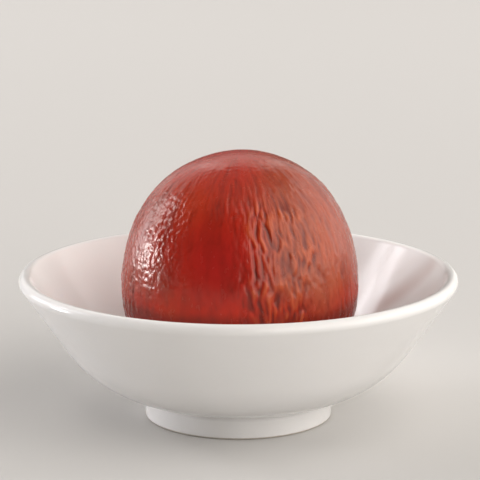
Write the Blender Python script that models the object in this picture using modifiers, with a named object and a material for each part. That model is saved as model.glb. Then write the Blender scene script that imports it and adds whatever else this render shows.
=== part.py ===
"""Gulab jamun in a small white porcelain bowl.

One large, soft, syrup-soaked fried milk-dough ball rests on the floor of a shallow
flared bowl, which stands on its own foot ring.

Metres, +Z up, front at -Y. The origin is on the ground under the bowl's centre.
"""

import math

import bmesh
import bpy
from mathutils import Vector

MM = 0.001

# ---------------------------------------------------------------- driving sizes
# Bowl: a profile turned about Z
RIM_RADIUS = 43.8 * MM  # the widest ring, just under the lip's crest
BOWL_HEIGHT = 29.5 * MM  # ground to the lip's crest
WALL = 2.6 * MM  # one thickness from the lip to the belly
FLARE = math.radians(35.0)  # lean of the straight upper wall from the vertical
STRAIGHT_WALL = 15.6 * MM  # outer length of that straight wall
BELLY_RADIUS = 24.0 * MM  # outer bend from the wall into the underside
FLOOR_TURN = math.radians(75.0)  # where the inner bend gives way to the dished floor
FOOT_RADIUS = 18.8 * MM  # outside of the foot ring
FOOT_WIDTH = 2.6 * MM
FOOT_FILLET = 1.4 * MM  # hollow between the underside and the foot ring
FOOT_ROUND = 0.6 * MM  # rounded edges of the face that the bowl stands on
RECESS_HEIGHT = 2.4 * MM  # the underside inside the foot ring, above the ground
TURN_STEPS = 64  # round the axis
ARC_TURN = math.radians(30.0)  # an arc of the profile has no longer step than this
ARC_PITCH = 3.2 * MM  # nor than this
SEAM = 0.01 * MM  # points closer than this become one

# Ball: an upright, slightly egg-shaped body that has sagged onto the floor
BALL_RADIUS = 23.8 * MM  # at its widest level
WIDEST_LEVEL = 26.5 * MM  # height of that level above the ground
CROWN_RISE = 27.3 * MM  # from the widest level to the top
FULLNESS = 2.16  # 2 is an ellipse, more is squarer in the shoulders
CONTACT_GAP = 0.3 * MM  # between the ball's base and the bowl's floor
SIDE_SHIFT = 0.3 * MM  # the ball's place towards +X of the bowl's centre
CROWN_LEAN = 0.4 * MM  # the crown's further shift towards +X
# Unevenness from rolling by hand: (waves round the ball, share of radius, phase)
HAND_ROLLED = ((2, 0.0035, 0.6), (3, 0.0025, 2.1), (5, 0.0012, 4.0))
BALL_SEGMENTS = 48
BALL_RINGS = 26

# Linear colours
PORCELAIN = (0.74, 0.73, 0.71, 1.0)
SOAKED_CRUST = (0.34, 0.030, 0.013, 1.0)


# --------------------------------------------------------------------- helpers
def on_circle(centre, radius, angle):
    """The point (r, z) at this angle from the +r axis."""
    return (
        centre[0] + radius * math.cos(angle),
        centre[1] + radius * math.sin(angle),
    )


def arc(centre, radius, start, end):
    """Points along a circle from the start angle to the end angle, both included."""
    span = end - start
    steps = math.ceil(max(abs(span) / ARC_TURN, abs(span) * radius / ARC_PITCH))
    return [on_circle(centre, radius, start + span * i / steps) for i in range(steps + 1)]


def principled(name, colour, roughness):
    material = bpy.data.materials.new(name)
    material.use_nodes = True
    shader = material.node_tree.nodes["Principled BSDF"]
    shader.inputs["Base Color"].default_value = colour
    shader.inputs["Roughness"].default_value = roughness
    shader.inputs["Metallic"].default_value = 0.0
    return material


def link_mesh(name, work, material, collection):
    """Turns a finished bmesh into a named object in the collection."""
    mesh = bpy.data.meshes.new(name)
    work.to_mesh(mesh)
    work.free()
    mesh.materials.append(material)
    mesh.shade_smooth()
    made = bpy.data.objects.new(name, mesh)
    collection.objects.link(made)
    return made


# ------------------------------------------------------------------------ bowl
def belly_centre():
    """Centre of the bend that the inner and the outer belly share."""
    half = WALL / 2
    lip = (RIM_RADIUS - half, BOWL_HEIGHT - half)
    back = BELLY_RADIUS - half
    return (
        lip[0] - STRAIGHT_WALL * math.sin(FLARE) - back * math.cos(FLARE),
        lip[1] - STRAIGHT_WALL * math.cos(FLARE) + back * math.sin(FLARE),
    )


def floor_dish():
    """Centre and radius of the dished floor, which leaves the inner belly smoothly."""
    belly = belly_centre()
    edge = on_circle(belly, BELLY_RADIUS - WALL, -FLOOR_TURN)
    radius = edge[0] / math.cos(FLOOR_TURN)
    return (0.0, edge[1] + radius * math.sin(FLOOR_TURN)), radius


def floor_height():
    """Height of the floor's centre above the ground."""
    centre, radius = floor_dish()
    return centre[1] - radius


def inner_profile():
    """From the floor's centre outwards and up to the top of the inner belly."""
    dish, dish_radius = floor_dish()
    floor = arc(dish, dish_radius, -math.pi / 2, -FLOOR_TURN)
    floor[0] = (0.0, floor_height())
    belly = arc(belly_centre(), BELLY_RADIUS - WALL, -FLOOR_TURN, -FLARE)
    return floor + belly[1:]


def lip_profile():
    """Half a circle over the rim, from the inner wall to the outer wall."""
    half = WALL / 2
    centre = (RIM_RADIUS - half, BOWL_HEIGHT - half)
    return arc(centre, half, math.pi - FLARE, -FLARE)


def outer_profile():
    """Down the outer belly and through the hollow above the foot ring."""
    belly = belly_centre()
    hollow_r = FOOT_RADIUS + FOOT_FILLET
    reach = BELLY_RADIUS + FOOT_FILLET
    drop = math.sqrt(reach**2 - (hollow_r - belly[0]) ** 2)
    hollow = (hollow_r, belly[1] - drop)
    meeting = math.atan2(-drop, hollow_r - belly[0])
    down = arc(belly, BELLY_RADIUS, -FLARE, meeting)
    into_foot = arc(hollow, FOOT_FILLET, meeting + math.pi, math.pi)
    return down + into_foot[1:]


def foot_profile():
    """Round the foot ring and across the recessed underside to the axis."""
    inside = FOOT_RADIUS - FOOT_WIDTH
    outer_edge = (FOOT_RADIUS - FOOT_ROUND, FOOT_ROUND)
    inner_edge = (inside + FOOT_ROUND, FOOT_ROUND)
    corner = (inside - FOOT_ROUND, RECESS_HEIGHT - FOOT_ROUND)
    stand = arc(outer_edge, FOOT_ROUND, 0.0, -math.pi / 2)
    stand += arc(inner_edge, FOOT_ROUND, -math.pi / 2, -math.pi)
    underside = arc(corner, FOOT_ROUND, 0.0, math.pi / 2)
    return stand + underside + [(0.0, RECESS_HEIGHT)]


def make_bowl(collection):
    """The bowl's wall in one turned body: floor, lip, belly and foot ring."""
    profile = inner_profile() + lip_profile() + outer_profile() + foot_profile()
    work = bmesh.new()
    corners = [work.verts.new((r, 0.0, z)) for r, z in profile]
    for first, second in zip(corners, corners[1:]):
        work.edges.new((first, second))
    bowl = link_mesh(
        "bowl", work, principled("white_porcelain_glaze", PORCELAIN, 0.12), collection
    )
    turn = bowl.modifiers.new("turn", "SCREW")
    turn.axis = "Z"
    turn.angle = 2 * math.pi
    turn.steps = TURN_STEPS
    turn.render_steps = TURN_STEPS
    turn.use_merge_vertices = True
    turn.merge_threshold = SEAM
    turn.use_smooth_shade = True
    return bowl


# ------------------------------------------------------------------------ ball
def ball_point(direction):
    """Carries a point of the unit sphere to the ball's surface.

    Its upright section is a superellipse with a tall crown and a shorter, sagged
    lower half. A few slow waves round it and a leaning crown make it uneven.
    """
    azimuth = math.atan2(direction.y, direction.x)
    level = max(-1.0, min(1.0, direction.z))
    spread = math.sqrt(1.0 - level * level)
    sag_drop = WIDEST_LEVEL - floor_height() - CONTACT_GAP
    rise = CROWN_RISE if level > 0 else sag_drop
    power = 2.0 / FULLNESS
    uneven = sum(
        share * math.cos(waves * azimuth + phase) * spread**waves
        for waves, share, phase in HAND_ROLLED
    )
    radius = BALL_RADIUS * spread**power * (1.0 + uneven)
    height = math.copysign(rise * abs(level) ** power, level)
    lean = CROWN_LEAN * max(0.0, level) ** 2
    return Vector(
        (
            SIDE_SHIFT + radius * math.cos(azimuth) + lean,
            radius * math.sin(azimuth),
            WIDEST_LEVEL + height,
        )
    )


def make_ball(collection):
    work = bmesh.new()
    bmesh.ops.create_uvsphere(
        work, u_segments=BALL_SEGMENTS, v_segments=BALL_RINGS, radius=1.0
    )
    for vert in work.verts:
        vert.co = ball_point(vert.co)
    return link_mesh(
        "gulab_jamun", work, principled("soaked_crust", SOAKED_CRUST, 0.25), collection
    )


# ------------------------------------------------------------------------ build
def main():
    for old in list(bpy.data.objects):
        bpy.data.objects.remove(old, do_unlink=True)
    collection = bpy.data.collections.new("gulab_jamun_in_bowl")
    bpy.context.scene.collection.children.link(collection)
    make_bowl(collection)
    make_ball(collection)


main()
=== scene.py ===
"""Looks of a gulab jamun in a small white porcelain bowl.

Laid out as an add-on and run as a script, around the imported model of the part, which is loaded
first and never changed. Lengths are in metres, +Z is up and the front is at -Y.
"""

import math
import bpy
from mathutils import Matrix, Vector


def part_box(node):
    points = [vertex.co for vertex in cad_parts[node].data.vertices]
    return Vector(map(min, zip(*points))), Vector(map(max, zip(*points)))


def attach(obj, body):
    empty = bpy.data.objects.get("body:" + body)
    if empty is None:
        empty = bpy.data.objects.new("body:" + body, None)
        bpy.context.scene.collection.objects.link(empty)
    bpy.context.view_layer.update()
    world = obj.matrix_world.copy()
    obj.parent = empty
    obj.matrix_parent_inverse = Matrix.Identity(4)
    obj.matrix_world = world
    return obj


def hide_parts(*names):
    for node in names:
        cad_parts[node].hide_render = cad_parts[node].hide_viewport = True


bl_info = {
    "name": "Gulab Jamun in a Bowl",
    "version": (1, 0, 0),
    "blender": (4, 5, 0),
    "location": "View3D > Sidebar > Sweets",
    "description": "A fried dough ball, wet with syrup, in a glazed porcelain bowl",
    "category": "Add Mesh",
}

import bpy
import numpy as np
from bpy.props import FloatProperty, FloatVectorProperty, IntProperty, PointerProperty
from mathutils import Vector

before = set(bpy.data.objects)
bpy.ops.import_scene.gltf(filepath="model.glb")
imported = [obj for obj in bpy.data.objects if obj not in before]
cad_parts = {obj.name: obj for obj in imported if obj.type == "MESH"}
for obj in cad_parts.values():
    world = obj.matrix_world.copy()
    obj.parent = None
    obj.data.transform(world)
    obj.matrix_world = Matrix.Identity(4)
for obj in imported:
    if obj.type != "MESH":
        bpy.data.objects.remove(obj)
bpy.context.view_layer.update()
BOWL_LOW, BOWL_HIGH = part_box("bowl")
BALL_LOW, BALL_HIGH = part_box("gulab_jamun")

MM = 0.001


# ------------------------------------------------------------------------ settings
def length(name, description, default):
    """A property for a length, stated in millimetres and kept in metres."""
    return FloatProperty(
        name=name, description=description, default=default * MM, unit="LENGTH", precision=5
    )


def angle(name, description, degrees):
    """A property for an angle, stated in degrees and kept in radians."""
    return FloatProperty(
        name=name, description=description, default=math.radians(degrees), subtype="ANGLE"
    )


def amount(name, description, default):
    """A property for a plain number."""
    return FloatProperty(name=name, description=description, default=default, precision=4)


def colour(name, description, default):
    """A property for a linear colour."""
    return FloatVectorProperty(
        name=name, description=description, default=default, subtype="COLOR", size=3
    )


class BowlSettings(bpy.types.PropertyGroup):
    """Sizes and colours of the turned porcelain bowl."""

    wall: length("Wall", "Thickness of the wall and width of the rounded lip", 2.6)
    flare: angle("Flare", "Lean of the straight upper wall from the vertical", 35)
    straight_wall: length("Straight wall", "Outer length of the straight upper wall", 15.6)
    belly: length("Belly", "Radius of the outer bend under the wall", 24.0)
    floor_turn: angle("Floor turn", "Where the inner bend gives way to the floor", 75)
    foot_radius: length("Foot radius", "Outside radius of the foot ring", 18.8)
    foot_width: length("Foot width", "Width of the foot ring", 2.6)
    foot_fillet: length("Foot fillet", "Hollow between the underside and the foot", 1.4)
    foot_round: length("Foot round", "Rounded edges of the foot's flat face", 0.6)
    recess: length("Recess", "Height of the underside inside the foot ring", 2.4)
    turns: IntProperty(name="Turns", description="Steps round the bowl", default=288, min=48)
    glaze: colour("Glaze", "Colour of the glazed porcelain", (0.82, 0.81, 0.80))
    glaze_deep: colour("Thick glaze", "Where the glaze has pooled", (0.79, 0.78, 0.77))
    bare_clay: colour("Bare clay", "The unglazed face of the foot", (0.55, 0.50, 0.44))
    # The syrup colour is painted shade: the dark band down the inner wall beside the ball
    syrup: colour("Syrup", "The thin smear of syrup on the inner wall", (0.45, 0.26, 0.22))


class BallSettings(bpy.types.PropertyGroup):
    """Sizes and colours of the fried dough ball."""

    radius: FloatProperty(
        name="Radius",
        description="Radius at the widest level",
        default=(BALL_HIGH.x - BALL_LOW.x + BALL_HIGH.y - BALL_LOW.y) / 4,
        unit="LENGTH",
    )
    widest_level: length("Widest level", "Height of the widest level above the ground", 26.5)
    fullness: amount("Fullness", "2 is an ellipse and more is squarer in the shoulders", 2.16)
    side_shift: length("Side shift", "The ball's place towards +X of the bowl's centre", 0.3)
    crown_lean: length("Crown lean", "The crown's further shift towards +X", 0.4)
    face_steps: IntProperty(
        name="Face steps", description="Squares along each of the cube's edges", default=126
    )
    dent_depth: length("Dent depth", "Height of the broad, shallow dents", 0.22)
    dent_size: length("Dent size", "Distance between broad dents", 11.0)
    ridge_depth: length("Ridge depth", "Height of the upright ridges in the skin", 0.23)
    ridge_pitch: length("Ridge pitch", "Distance between a ridge and a furrow", 0.80)
    ridge_stretch: amount("Ridge stretch", "How much longer than wide the ridges are", 3.9)
    pore_depth: length("Pore depth", "Depth of the pores between the ridges", 0.09)
    pore_pitch: length("Pore pitch", "Distance between pores", 0.85)
    crust: colour("Crust", "The soaked crust over most of the ball", (0.41, 0.018, 0.004))
    # Warm crust also carries painted sheen on the ball's right side, which the windows light
    warm_crust: colour("Warm crust", "Where the crust is fried less", (0.31, 0.042, 0.009))
    deep_crust: colour("Deep crust", "Where the crust is fried most", (0.42, 0.012, 0.009))
    wet_crust: colour("Wet crust", "The band over the bowl's rim", (0.57, 0.022, 0.004))
    # Painted highlights on the ridges' crests, and painted sheen in pale spots
    painted_highlight_crust: colour("Pale crust", "The ridges, which are fried least", (0.54, 0.095, 0.025))
    # Dark crust is painted shade in the furrows and low down by the rim, and also darker mottling at random
    dark_crust: colour("Dark crust", "Furrows and the soaked lower half", (0.15, 0.008, 0.003))
    # Painted sheen: a pale reflection of the bowl's white inner wall, low on the ball's right
    painted_sheen_spot_crust: colour("Milky crust", "Where syrup has dried on the crust", (0.33, 0.088, 0.052))


class StageSettings(bpy.types.PropertyGroup):
    """The floor, the lights and the camera."""

    floor: colour("Floor", "Colour of the pale floor", (0.635, 0.625, 0.61))
    elevation: angle("Elevation", "The camera's height above the rim, seen from its centre", 13.3)
    distance: length("Distance", "From the camera to the rim's centre", 450.0)
    view_width: length("View width", "What the frame spans at that distance", 96.0)
    aim_rise: length("Aim rise", "The aimed point's height above the rim", 6.3)
    aim_side: length("Aim side", "The aimed point's shift towards +X", 0.3)


# ------------------------------------------------------------------- shader writing
class Wire:
    """A shader socket whose operators add Math nodes to its tree."""

    def __init__(self, shading, socket):
        self.shading = shading
        self.socket = socket

    def maths(self, operation, *values):
        return self.shading.node("ShaderNodeMath", {"operation": operation}, dict(enumerate(values)))

    def __add__(self, other):
        return self.maths("ADD", self, other)

    def __rsub__(self, other):
        return self.maths("SUBTRACT", other, self)

    def __mul__(self, other):
        return self.maths("MULTIPLY", self, other)

    __radd__ = __add__
    __rmul__ = __mul__


class Shading:
    """The node tree of one material or of the world."""

    def __init__(self, owner):
        owner.use_nodes = True
        self.tree = owner.node_tree
        self.tree.nodes.clear()

    def node(self, kind, settings=None, sockets=None, output=0):
        """Adds a node, its settings first and then its sockets' values or links."""
        made = self.tree.nodes.new(kind)
        for name, value in (settings or {}).items():
            setattr(made, name, value)
        for key, value in (sockets or {}).items():
            if isinstance(value, Wire):
                self.tree.links.new(value.socket, made.inputs[key])
            else:
                made.inputs[key].default_value = value
        return Wire(self, made.outputs[output]) if made.outputs else made

    def place(self, scale=(1, 1, 1), turn=(0, 0, 0), centre=(0, 0, 0)):
        """Object coordinates, moved to a centre, turned and scaled to a pattern's pitch."""
        coordinates = self.node("ShaderNodeTexCoord", output="Object")
        moved = self.node(
            "ShaderNodeVectorMath", {"operation": "SUBTRACT"}, {0: coordinates, 1: centre}
        )
        return self.node("ShaderNodeMapping", None, {"Vector": moved, "Rotation": turn, "Scale": scale})

    def noise(self, where, scale=1.0, detail=2.0, roughness=0.5, warp=0.0):
        """A grey noise from 0 to 1 with that many features per unit."""
        sockets = {
            "Vector": where,
            "Scale": scale,
            "Detail": detail,
            "Roughness": roughness,
            "Distortion": warp,
        }
        return self.node("ShaderNodeTexNoise", None, sockets, output="Fac")

    def spot(self, centre, radius):
        """1 at a point, falling smoothly to 0 at a radius round it."""
        way = self.place(centre=centre)
        reach = self.node("ShaderNodeVectorMath", {"operation": "LENGTH"}, {0: way}, "Value")
        return self.ramp(reach, radius, 0.0)

    def stroke(self, start, end, width):
        """1 on the line from start to end, falling smoothly to 0 at that distance from it."""
        run = end - start
        way = self.place(centre=start)
        along = tuple(run / run.length_squared)
        share = self.node("ShaderNodeVectorMath", {"operation": "DOT_PRODUCT"}, {0: way, 1: along}, "Value")
        share = self.node("ShaderNodeMath", {"operation": "MULTIPLY", "use_clamp": True}, {0: share, 1: 1.0})
        nearest = self.node("ShaderNodeVectorMath", {"operation": "SCALE"}, {0: tuple(run), "Scale": share})
        off = self.node("ShaderNodeVectorMath", {"operation": "DISTANCE"}, {0: way, 1: nearest}, "Value")
        return self.ramp(off, width, 0.0)

    def ramp(self, value, low, high, start=0.0, end=1.0):
        """Goes smoothly from start to end as the value goes from low to high."""
        sockets = {
            "Value": value,
            "From Min": low,
            "From Max": high,
            "To Min": start,
            "To Max": end,
        }
        return self.node("ShaderNodeMapRange", {"interpolation_type": "SMOOTHSTEP"}, sockets)

    def mix(self, factor, first, second):
        """Mixes two colours."""
        return self.node(
            "ShaderNodeMix",
            {"data_type": "RGBA"},
            {"Factor": factor, 6: opaque(first), 7: opaque(second)},
            output=2,
        )

    def height(self, value, depth, base=None):
        """A Bump node: the value's relief of that depth, in metres."""
        sockets = {"Height": value, "Distance": depth, "Strength": 1.0}
        if base is not None:
            sockets["Normal"] = base
        return self.node("ShaderNodeBump", None, sockets)

    def surface(self, shader):
        self.node("ShaderNodeOutputMaterial", None, {"Surface": shader})


def opaque(value):
    """A linear colour with its alpha, or the wire as it is."""
    return value if isinstance(value, Wire) else (*value, 1.0)


# ---------------------------------------------------------------------- mesh writing
def fill_mesh(name, points, quads, triangles):
    """Puts whole arrays of points, four-cornered and three-cornered faces into a smooth mesh."""
    mesh = bpy.data.meshes.new(name)
    corners = np.concatenate([quads.ravel(), triangles.ravel()]).astype(np.int32)
    sizes = np.concatenate([np.full(len(quads), 4), np.full(len(triangles), 3)])
    starts = np.concatenate([[0], np.cumsum(sizes)[:-1]]).astype(np.int32)
    mesh.vertices.add(len(points))
    mesh.vertices.foreach_set("co", points.astype(np.float32).ravel())
    mesh.loops.add(len(corners))
    mesh.loops.foreach_set("vertex_index", corners)
    mesh.polygons.add(len(sizes))
    mesh.polygons.foreach_set("loop_start", starts)
    mesh.update(calc_edges=True)
    mesh.shade_smooth()
    return mesh


def show(name, mesh, material, node):
    """Links a finished piece, which stands for a node of the frame."""
    mesh.materials.append(material)
    piece = bpy.data.objects.new(name, mesh)
    bpy.context.scene.collection.objects.link(piece)
    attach(piece, "root")
    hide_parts(node)
    return piece


# ------------------------------------------------------------------------------ bowl
ARC_TURN = math.radians(10)  # no arc has a longer step than this
ARC_PITCH = 0.8 * MM  # nor than this
# Painted shade: a thin dark band on the inner wall, from under the lip down to the ball: (x, y, z) in mm
PAINTED_SHADE_RUN = ((38.8, 10.7, 27.2), (29.5, 16.2, 18.0), (24.5, 14.0, 11.6), (16.0, 11.0, 7.6))
PAINTED_SHADE_WIDTH = 4.4 * MM  # from its middle to where it ends


def arc(centre, radius, start, end):
    """Rows (r, z) = centre + radius times (cos t, sin t), with t even from start to end."""
    turn = abs(end - start)
    steps = math.ceil(max(turn / ARC_TURN, turn * radius / ARC_PITCH, 2))
    t = np.linspace(start, end, steps + 1)
    return np.stack([centre[0] + radius * np.cos(t), centre[1] + radius * np.sin(t)], axis=1)


def bowl_profile(look):
    """The wall's section as rows (r, z), from the floor's centre over the lip to the recess.

    The lip is half a circle. Below it both walls are straight, then bend about one centre;
    the inner bend runs into a dished floor and the outer one through a fillet to the foot.
    """
    half = look.wall / 2
    lip = (BOWL_HIGH.x - half, BOWL_HIGH.z - half)
    back = look.belly - half
    flare = look.flare
    belly = (
        lip[0] - look.straight_wall * math.sin(flare) - back * math.cos(flare),
        lip[1] - look.straight_wall * math.cos(flare) + back * math.sin(flare),
    )
    inner = look.belly - look.wall
    turn = look.floor_turn
    edge = (belly[0] + inner * math.cos(turn), belly[1] - inner * math.sin(turn))
    dish_radius = edge[0] / math.cos(turn)
    dish = (0.0, edge[1] + dish_radius * math.sin(turn))

    hollow_r = look.foot_radius + look.foot_fillet
    reach = look.belly + look.foot_fillet
    drop = math.sqrt(reach**2 - (hollow_r - belly[0]) ** 2)
    meeting = math.atan2(-drop, hollow_r - belly[0])
    rounding = look.foot_round
    inside = look.foot_radius - look.foot_width

    quarter = math.pi / 2
    return np.concatenate(
        [
            arc(dish, dish_radius, -quarter, -turn)[:-1],
            arc(belly, inner, -turn, -flare),
            arc(lip, half, math.pi - flare, -flare),
            arc(belly, look.belly, -flare, meeting)[:-1],
            arc((hollow_r, belly[1] - drop), look.foot_fillet, meeting + math.pi, math.pi),
            arc((look.foot_radius - rounding, rounding), rounding, 0, -quarter),
            arc((inside + rounding, rounding), rounding, -quarter, -math.pi),
            arc((inside - rounding, look.recess - rounding), rounding, 0, quarter),
            np.array([[0.0, look.recess]]),
        ]
    )


def turned_mesh(name, profile, turns):
    """Turns the profile about Z: a point is (r cos a, r sin a, z). Its ends become poles."""
    a = np.arange(turns) * 2 * np.pi / turns
    r, z = profile[1:-1, :1], profile[1:-1, 1:]
    rings = np.stack([r * np.cos(a), r * np.sin(a), np.broadcast_to(z, (len(z), turns))], axis=2)
    ends = np.array([[0, 0, profile[0, 1]], [0, 0, profile[-1, 1]]])
    points = np.concatenate([rings.reshape(-1, 3), ends])

    index = np.arange(rings.shape[0] * turns).reshape(-1, turns)
    ahead = np.roll(index, -1, axis=1)
    quads = np.stack([index[:-1], index[1:], ahead[1:], ahead[:-1]], axis=2).reshape(-1, 4)
    first = np.stack([np.full(turns, len(points) - 2), index[0], ahead[0]], axis=1)
    last = np.stack([index[-1], np.full(turns, len(points) - 1), ahead[-1]], axis=1)
    return fill_mesh(name, points, quads, np.concatenate([first, last]))


def glazed_porcelain(look):
    """White porcelain under a clear gloss glaze, with a bare ring of clay where it stands."""
    material = bpy.data.materials.new("glazed_porcelain")
    shading = Shading(material)
    height = shading.node(
        "ShaderNodeSeparateXYZ", None, {0: shading.node("ShaderNodeTexCoord", output="Object")}, "Z"
    )
    cloud = shading.noise(shading.place((60, 60, 60)), detail=3.0)
    pooled = shading.ramp(cloud, 0.35, 0.75)
    body = shading.mix(pooled * 0.6, look.glaze, look.glaze_deep)
    # Painted shade: a dark brownish band down the inner right wall beside the ball, half as strong near the
    # lip
    smear = 0.0
    for start, end in zip(PAINTED_SHADE_RUN, PAINTED_SHADE_RUN[1:]):
        part = shading.stroke(Vector(start) * MM, Vector(end) * MM, PAINTED_SHADE_WIDTH)
        smear = shading.node("ShaderNodeMath", {"operation": "MAXIMUM"}, {0: smear, 1: part})
    thin = shading.ramp(height, 27 * MM, 19 * MM, 0.5, 1.0)
    body = shading.mix(smear * thin * (0.3 + 0.5 * cloud), body, look.syrup)
    bare = shading.ramp(height, look.foot_round * 0.9, look.foot_round * 0.5)
    painted = shading.mix(bare, body, look.bare_clay)
    ripple = shading.noise(shading.place((130, 130, 130)), detail=1.0)
    orange_peel = shading.noise(shading.place((900, 900, 900)), detail=1.0)
    rough = 0.13 + 0.05 * cloud + bare * 0.5
    relief = shading.height(ripple, 0.10 * MM)
    relief = shading.height(orange_peel, 0.004 * MM, relief)
    shading.surface(
        shading.node(
            "ShaderNodeBsdfPrincipled",
            None,
            {
                "Base Color": painted,
                "Roughness": rough,
                "Normal": relief,
                "IOR": 1.5,
                "Subsurface Weight": 0.08,
                "Subsurface Radius": (1.0, 0.9, 0.8),
                "Subsurface Scale": 1.0 * MM,
            },
        )
    )
    return material


class JAMUN_OT_glazed_bowl(bpy.types.Operator):
    """Makes the porcelain bowl"""

    bl_idname = "jamun.glazed_bowl"
    bl_label = "Glazed Bowl"

    def execute(self, context):
        look = context.scene.jamun_bowl
        mesh = turned_mesh("glazed_bowl", bowl_profile(look), look.turns)
        show("glazed_bowl", mesh, glazed_porcelain(look), "bowl")
        return {"FINISHED"}


# ------------------------------------------------------------------------------ ball
# Unevenness from rolling by hand: (waves round the ball, share of radius, phase)
HAND_ROLLED = ((2, 0.0035, 0.6), (3, 0.0025, 2.1), (5, 0.0012, 4.0))


def lattice_noise(points, seed):
    """Smooth noise, about -1 to 1, with one random slope at each whole-numbered point.

    Each corner of a point's cell gives its slope's dot product with the way from that corner,
    and the eight are blended by 6t^5 - 15t^4 + 10t^3 along each axis.
    """
    random = np.random.RandomState(seed)
    slopes = random.normal(size=(256, 3))
    slopes /= np.linalg.norm(slopes, axis=1, keepdims=True)
    shuffle = random.permutation(256)
    cell = np.floor(points).astype(int)
    inside = points - cell
    blend = inside**3 * (inside * (inside * 6 - 15) + 10)
    total = np.zeros(len(points))
    for corner in np.ndindex(2, 2, 2):
        x, y, z = (cell + corner).T
        key = shuffle[(shuffle[(shuffle[x % 256] + y) % 256] + z) % 256]
        weight = np.prod(np.where(corner, blend, 1 - blend), axis=1)
        total += weight * np.einsum("ij,ij->i", slopes[key], inside - corner)
    return total * 1.7


def cube_directions(steps):
    """Directions to a cube's six faces, cut at even angles, and the squares between them.

    On each face the direction is normal + tan(u) * first + tan(v) * second, with u and v
    from -45 to 45 degrees. The faces' shared edges are welded.
    """
    ticks = np.tan(np.linspace(-np.pi / 4, np.pi / 4, steps + 1))
    u, v = np.meshgrid(ticks, ticks, indexing="ij")
    index = np.arange((steps + 1) ** 2).reshape(steps + 1, steps + 1)
    square = np.stack([index[:-1, :-1], index[1:, :-1], index[1:, 1:], index[:-1, 1:]], axis=2)
    axes = np.eye(3)
    points, squares = [], []
    for side in range(6):
        axis, sign = side // 2, 1 - 2 * (side % 2)
        first, second = axes[(axis + 1) % 3], sign * axes[(axis + 2) % 3]
        points.append((sign * axes[axis] + u[..., None] * first + v[..., None] * second).reshape(-1, 3))
        squares.append(square.reshape(-1, 4) + side * index.size)
    points = np.concatenate(points)
    points /= np.linalg.norm(points, axis=1, keepdims=True)
    kept, merged = np.unique(np.round(points, 6), axis=0, return_inverse=True)
    kept /= np.linalg.norm(kept, axis=1, keepdims=True)
    return kept, merged.ravel()[np.concatenate(squares)]


def ball_points(look, direction):
    """Carries unit directions to the smooth ball.

    With level l = z and spread s = sqrt(1 - l^2), the radius is R s^(2/f) (1 + unevenness)
    and the height |l|^(2/f) times the rise above, or the drop below, the widest level.
    """
    azimuth = np.arctan2(direction[:, 1], direction[:, 0])
    level = direction[:, 2]
    spread = np.sqrt(np.clip(1 - level**2, 0, 1))
    rise = np.where(level > 0, BALL_HIGH.z - look.widest_level, look.widest_level - BALL_LOW.z)
    power = 2 / look.fullness
    uneven = sum(
        share * np.cos(waves * azimuth + phase) * spread**waves
        for waves, share, phase in HAND_ROLLED
    )
    radius = look.radius * spread**power * (1 + uneven)
    lean = look.crown_lean * np.clip(level, 0, 1) ** 2
    return np.stack(
        [
            look.side_shift + radius * np.cos(azimuth) + lean,
            radius * np.sin(azimuth),
            look.widest_level + np.sign(level) * rise * np.abs(level) ** power,
        ],
        axis=1,
    )


def smooth(value, low, high):
    """3t^2 - 2t^3, with t going from 0 to 1 as the value goes from low to high."""
    t = np.clip((value - low) / (high - low), 0, 1)
    return t * t * (3 - 2 * t)


def near(points, centre, inner, outer):
    """1 within the inner distance of a point, falling smoothly to 0 at the outer one."""
    return 1 - smooth(np.linalg.norm(points - np.array(centre) * MM, axis=1), inner * MM, outer * MM)


def on_drum(look, azimuth, points):
    """Points (R cos a, R sin a, z) of a drum as wide as the ball, at the points' heights."""
    a = azimuth
    return np.stack([look.radius * np.cos(a), look.radius * np.sin(a), points[:, 2]], axis=1)


def skin_relief(look, points):
    """Height of the fried skin over the smooth ball, and how it is made up at each point.

    Upright ridges are a noise that is stretched along Z and read on the drum, so they run up
    the ball and draw together towards the crown. They waver with a slower noise, and a second
    set that winds round the drum crosses them. Pores are a finer, even noise. The skin is
    tight at the front, left of the middle and low down, most ridged right of the middle, and
    porous on the left.
    """
    azimuth = np.arctan2(points[:, 1], points[:, 0])
    spread = np.linalg.norm(points[:, :2], axis=1) / look.radius
    upright = np.array([1, 1, look.ridge_stretch]) * look.ridge_pitch

    dents = lattice_noise(points / look.dent_size, 11)
    waver = np.stack([lattice_noise(points / (4.5 * MM), seed) for seed in (21, 22, 23)], axis=1)
    ridges = lattice_noise(on_drum(look, azimuth, points) / upright + 0.8 * waver, 31)
    wound = azimuth + points[:, 2] / (55 * MM)
    ridges += 0.35 * lattice_noise(on_drum(look, wound, points) / upright + 0.4 * waver, 32)
    streaked = near(points * (1, 1, 0.5), (8, -21, 19), 5, 11)
    smoothed = near(points, (21, -10, 33), 5, 12)
    speckled = near(points, (-19, -12, 36), 9, 17)
    tight = np.maximum(near(points, (-8, -22, 38), 6, 13), near(points, (-14, -18, 26), 6, 12))
    patches = 0.45 + 0.35 * lattice_noise(points / (9 * MM), 41)
    patches += 0.6 * streaked - 0.2 * smoothed - 0.2 * speckled
    ridged = np.clip(patches, 0.15, 1.1) * (1 - 0.85 * tight) * smooth(spread, 0.15, 0.75)
    porous = 0.35 + 0.9 * speckled - 0.25 * tight
    pores = lattice_noise(points / look.pore_pitch, 51)
    relief = (
        look.dent_depth * dents
        + look.ridge_depth * ridged * ridges
        + look.pore_depth * porous * pores
    )
    return relief, np.stack([ridged, ridges, porous], axis=1)


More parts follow.
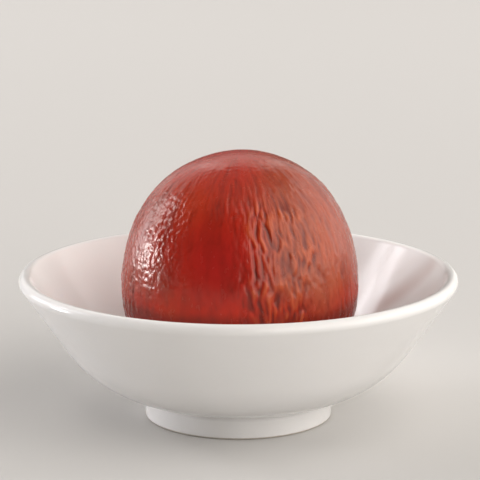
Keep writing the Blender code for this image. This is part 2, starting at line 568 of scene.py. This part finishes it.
def ball_mesh(look):
    """The smooth ball, moved along its own normals by the skin's relief."""
    direction, quads = cube_directions(look.face_steps)
    points = ball_points(look, direction)
    mesh = fill_mesh("fried_ball", points, quads, np.empty((0, 3), int))
    normals = np.empty(len(points) * 3, np.float32)
    mesh.vertices.foreach_get("normal", normals)
    height, skin = skin_relief(look, points)
    height -= height.max()
    moved = points + normals.reshape(-1, 3) * height[:, None]
    mesh.vertices.foreach_set("co", moved.astype(np.float32).ravel())
    drum = on_drum(look, np.arctan2(points[:, 1], points[:, 0]), points)
    for name, values in (("skin", skin), ("drum", drum)):
        kept = mesh.attributes.new(name, "FLOAT_VECTOR", "POINT")
        kept.data.foreach_set("vector", values.astype(np.float32).ravel())
    mesh.update()
    return mesh


def soaked_crust(look):
    """Deep red-brown crust, wet with syrup, with painted highlights on its ridges, painted sheen on its lit
    right side and painted shade in its furrows and low down.

    The skin attribute holds how ridged the skin is, the ridges' height and how porous it is.
    Patterns that run up the ball are read on the drum attribute.
    """
    material = bpy.data.materials.new("soaked_crust_wet")
    shading = Shading(material)
    skin = shading.node("ShaderNodeAttribute", {"attribute_name": "skin"}, output="Vector")
    ridged = shading.node("ShaderNodeSeparateXYZ", None, {0: skin}, "X")
    ridge = shading.node("ShaderNodeSeparateXYZ", None, {0: skin}, "Y")
    pored = shading.node("ShaderNodeSeparateXYZ", None, {0: skin}, "Z")
    where = shading.node("ShaderNodeTexCoord", output="Object")
    side = shading.node("ShaderNodeSeparateXYZ", None, {0: where}, "X")
    height = shading.node("ShaderNodeSeparateXYZ", None, {0: where}, "Z")
    drum = shading.node("ShaderNodeAttribute", {"attribute_name": "drum"}, output="Vector")
    along = shading.node("ShaderNodeMapping", None, {"Vector": drum, "Scale": (1400, 1400, 260)})
    patches = shading.noise(shading.place((85, 85, 85)), detail=3.0, roughness=0.55)
    blotch = shading.noise(along, scale=0.3, detail=1.0)
    mottle = shading.noise(shading.place((520, 520, 300)), detail=3.0, roughness=0.6)
    wet = shading.ramp(height + 4 * MM * patches, 34 * MM, 28 * MM)
    warm = shading.ramp(patches + 0.25 * mottle, 0.60, 0.90) * 0.6
    # Painted sheen: towards +X, the side the windows light, the crust turns warmer and less wet-red
    right = shading.ramp(side + 6 * MM * patches, 3 * MM, 12 * MM)
    warm = warm + right * (0.9 - 0.6 * wet)
    deep = shading.spot((-4 * MM, -23 * MM, 36 * MM), 14 * MM)
    # Painted shade: darker low down, where the ball sinks below the bowl's rim
    low = shading.ramp(height + 3 * MM * patches, 28.2 * MM, 25.6 * MM)
    # Painted highlights: paler on the ridges' crests; paler also in three spots, the two on the right being
    # painted sheen
    pale = shading.ramp(ridge, 0.0, 0.7) * shading.ramp(ridged, 0.5, 1.0) * 0.65
    pale = pale + shading.spot((17 * MM, -15 * MM, 32 * MM), 9 * MM) * 0.25
    pale = pale + shading.spot((15 * MM, -14 * MM, 41 * MM), 10 * MM) * 0.32
    pale = pale + shading.spot((-9 * MM, -13 * MM, 46 * MM), 8 * MM) * 0.18
    # Painted shade in the furrows; the rest darkens at random in mottle and blotches, and where the skin is
    # porous
    dark = shading.ramp(ridge, 0.1, -0.6) * ridged * 0.75 + shading.ramp(mottle, 0.5, 0.25) * 0.2
    dark = dark + shading.ramp(blotch, 0.55, 0.35) * 0.25 + shading.ramp(pored, 0.5, 1.2) * 0.25
    # Painted sheen: a pale spot low on the right, standing for the reflected inner wall of the bowl
    painted_sheen_spot = shading.spot((16 * MM, -17 * MM, 30.5 * MM), 8.5 * MM) * 0.6
    crust = shading.mix(wet * (1 - 0.6 * right), look.crust, look.wet_crust)
    crust = shading.mix(warm, crust, look.warm_crust)
    crust = shading.mix(deep, crust, look.deep_crust)
    crust = shading.mix(painted_sheen_spot, crust, look.painted_sheen_spot_crust)
    crust = shading.mix(low * 0.65, crust, look.dark_crust)
    crust = shading.mix(pale, crust, look.painted_highlight_crust)
    crust = shading.mix(dark, crust, look.dark_crust)
    streak = shading.noise(along, detail=1.0, warp=0.4)
    pores = shading.noise(shading.place((1300, 1300, 1100)), detail=1.0)
    relief = shading.height(streak * ridged, 0.12 * MM)
    relief = shading.height(pores * pored, 0.12 * MM, relief)
    shading.surface(
        shading.node(
            "ShaderNodeBsdfPrincipled",
            None,
            {
                "Base Color": crust,
                "Roughness": 0.20 + 0.12 * mottle,
                "Normal": relief,
                "IOR": 1.44,
                "Specular Tint": (1.0, 0.95, 0.85, 1.0),
                "Subsurface Weight": 0.2,
                "Subsurface Radius": (1.0, 0.25, 0.12),
                "Subsurface Scale": 2.0 * MM,
                "Coat Weight": 0.15,
                "Coat Roughness": 0.08,
                "Coat IOR": 1.4,
            },
        )
    )
    return material


class JAMUN_OT_fried_ball(bpy.types.Operator):
    """Makes the fried dough ball"""

    bl_idname = "jamun.fried_ball"
    bl_label = "Fried Ball"

    def execute(self, context):
        look = context.scene.jamun_ball
        show("fried_ball", ball_mesh(look), soaked_crust(look), "gulab_jamun")
        return {"FINISHED"}


# ----------------------------------------------------------------------------- stage
FLOOR_REACH = 6.0  # from the middle of the floor to each side
# Soft lights: (name, azimuth from the front towards +X, elevation, distance, width, height,
# radiance, colour)
SOFTBOXES = (
    ("window_right", 52, 19, 1.5, 2.3, 1.65, 2.45, (1.0, 0.955, 0.91)),
    ("window_side", 112, 22, 1.5, 1.15, 1.55, 1.8, (1.0, 0.955, 0.91)),
    ("window_high", 65, 64, 1.7, 1.6, 0.75, 1.3, (1.0, 0.955, 0.91)),
    ("wall_right_behind", 151, 22, 1.6, 0.9, 1.4, 0.8, (1.0, 0.95, 0.90)),
    ("wall_behind", 180, 38, 1.7, 0.9, 1.1, 0.7, (1.0, 0.95, 0.90)),
    ("wall_left_behind", -146, 28, 1.6, 1.2, 1.4, 0.85, (1.0, 0.95, 0.90)),
    ("ceiling", 0, 90, 1.5, 1.6, 1.6, 0.35, (1.0, 0.96, 0.92)),
    ("lamp_left", -102, 5, 1.3, 0.24, 0.34, 34.0, (1.0, 0.98, 1.0)),
    ("lamp_left_behind", -122, 10, 1.3, 0.40, 0.50, 4.0, (1.0, 0.98, 1.0)),
    ("lamp_left_high", -105, 33, 1.3, 0.34, 0.32, 6.0, (1.0, 0.98, 1.0)),
    ("lamp_left_middle", -116, 28, 1.3, 0.32, 0.30, 5.8, (1.0, 0.98, 1.0)),
)


def hang_softbox(scene, aim, name, azimuth, elevation, distance, width, height, radiance, tint):
    """A rectangular light that faces the aimed point; its power is radiance * pi * area."""
    across, up = math.radians(azimuth), math.radians(elevation)
    way = Vector((math.sin(across) * math.cos(up), -math.cos(across) * math.cos(up), math.sin(up)))
    light = bpy.data.lights.new(name, "AREA")
    light.shape = "RECTANGLE"
    light.size = width
    light.size_y = height
    light.energy = radiance * math.pi * width * height
    light.color = tint
    holder = bpy.data.objects.new(name, light)
    holder.location = aim + way * distance
    holder.rotation_euler = way.to_track_quat("Z", "Y").to_euler()
    scene.collection.objects.link(holder)


def lay_floor(scene, look):
    """A wide square of matte floor at the ground, which the bowl stands on."""
    points = FLOOR_REACH * np.array([[-1, -1, 0], [1, -1, 0], [1, 1, 0], [-1, 1, 0]])
    mesh = fill_mesh("pale_floor", points, np.array([[0, 1, 2, 3]]), np.empty((0, 3), int))
    material = bpy.data.materials.new("pale_floor")
    shading = Shading(material)
    shading.surface(
        shading.node("ShaderNodeBsdfDiffuse", None, {"Color": opaque(look.floor), "Roughness": 0.5})
    )
    mesh.materials.append(material)
    floor = bpy.data.objects.new("pale_floor", mesh)
    scene.collection.objects.link(floor)


def fill_world(scene):
    """A dim room, a little lighter behind the bowl than on the camera's side."""
    world = bpy.data.worlds.new("dim_room")
    scene.world = world
    shading = Shading(world)
    way = shading.node("ShaderNodeTexCoord", output="Generated")
    backwards = shading.node("ShaderNodeSeparateXYZ", None, {0: way}, "Y")
    light = shading.ramp(backwards, -0.35, 0.35, 0.12, 0.17)
    glow = shading.node(
        "ShaderNodeBackground", None, {"Color": (1.0, 0.97, 0.93, 1.0), "Strength": light}
    )
    shading.node("ShaderNodeOutputWorld", None, {"Surface": glow})


def set_camera(scene, look):
    """A long lens that frames the bowl from the front, just above its rim."""
    rim = Vector((0, 0, BOWL_HIGH.z))
    aim = rim + Vector((look.aim_side, 0, look.aim_rise))
    up = look.elevation
    camera = bpy.data.cameras.new("front_camera")
    camera.sensor_width = 36.0
    camera.lens = camera.sensor_width * look.distance / look.view_width
    holder = bpy.data.objects.new("front_camera", camera)
    holder.location = rim + Vector((0, -math.cos(up), math.sin(up))) * look.distance
    holder.rotation_euler = (holder.location - aim).to_track_quat("Z", "Y").to_euler()
    scene.collection.objects.link(holder)
    scene.camera = holder


class JAMUN_OT_stage(bpy.types.Operator):
    """Lays the floor, hangs the lights and sets the camera"""

    bl_idname = "jamun.stage"
    bl_label = "Stage"

    def execute(self, context):
        scene = context.scene
        look = scene.jamun_stage
        scene.view_settings.view_transform = "Standard"
        lay_floor(scene, look)
        fill_world(scene)
        aim = Vector((0, 0, scene.jamun_ball.widest_level))
        for box in SOFTBOXES:
            hang_softbox(scene, aim, *box)
        set_camera(scene, look)
        return {"FINISHED"}


# ---------------------------------------------------------------------------- add-on
class JAMUN_PT_sweets(bpy.types.Panel):
    """Lists the pieces and their settings"""

    bl_idname = "JAMUN_PT_sweets"
    bl_label = "Gulab Jamun in a Bowl"
    bl_space_type = "VIEW_3D"
    bl_region_type = "UI"
    bl_category = "Sweets"

    def draw(self, context):
        scene = context.scene
        rows = (
            ("jamun.glazed_bowl", scene.jamun_bowl),
            ("jamun.fried_ball", scene.jamun_ball),
            ("jamun.stage", scene.jamun_stage),
        )
        for operator, look in rows:
            box = self.layout.box()
            box.operator(operator)
            for name in look.__annotations__:
                box.prop(look, name)


CLASSES = (
    BowlSettings,
    BallSettings,
    StageSettings,
    JAMUN_OT_glazed_bowl,
    JAMUN_OT_fried_ball,
    JAMUN_OT_stage,
    JAMUN_PT_sweets,
)


def register():
    for item in CLASSES:
        bpy.utils.register_class(item)
    bpy.types.Scene.jamun_bowl = PointerProperty(type=BowlSettings)
    bpy.types.Scene.jamun_ball = PointerProperty(type=BallSettings)
    bpy.types.Scene.jamun_stage = PointerProperty(type=StageSettings)


def unregister():
    del bpy.types.Scene.jamun_stage
    del bpy.types.Scene.jamun_ball
    del bpy.types.Scene.jamun_bowl
    for item in reversed(CLASSES):
        bpy.utils.unregister_class(item)


def main():
    register()
    bpy.ops.jamun.glazed_bowl()
    bpy.ops.jamun.fried_ball()
    bpy.ops.jamun.stage()


if __name__ == "__main__":
    main()
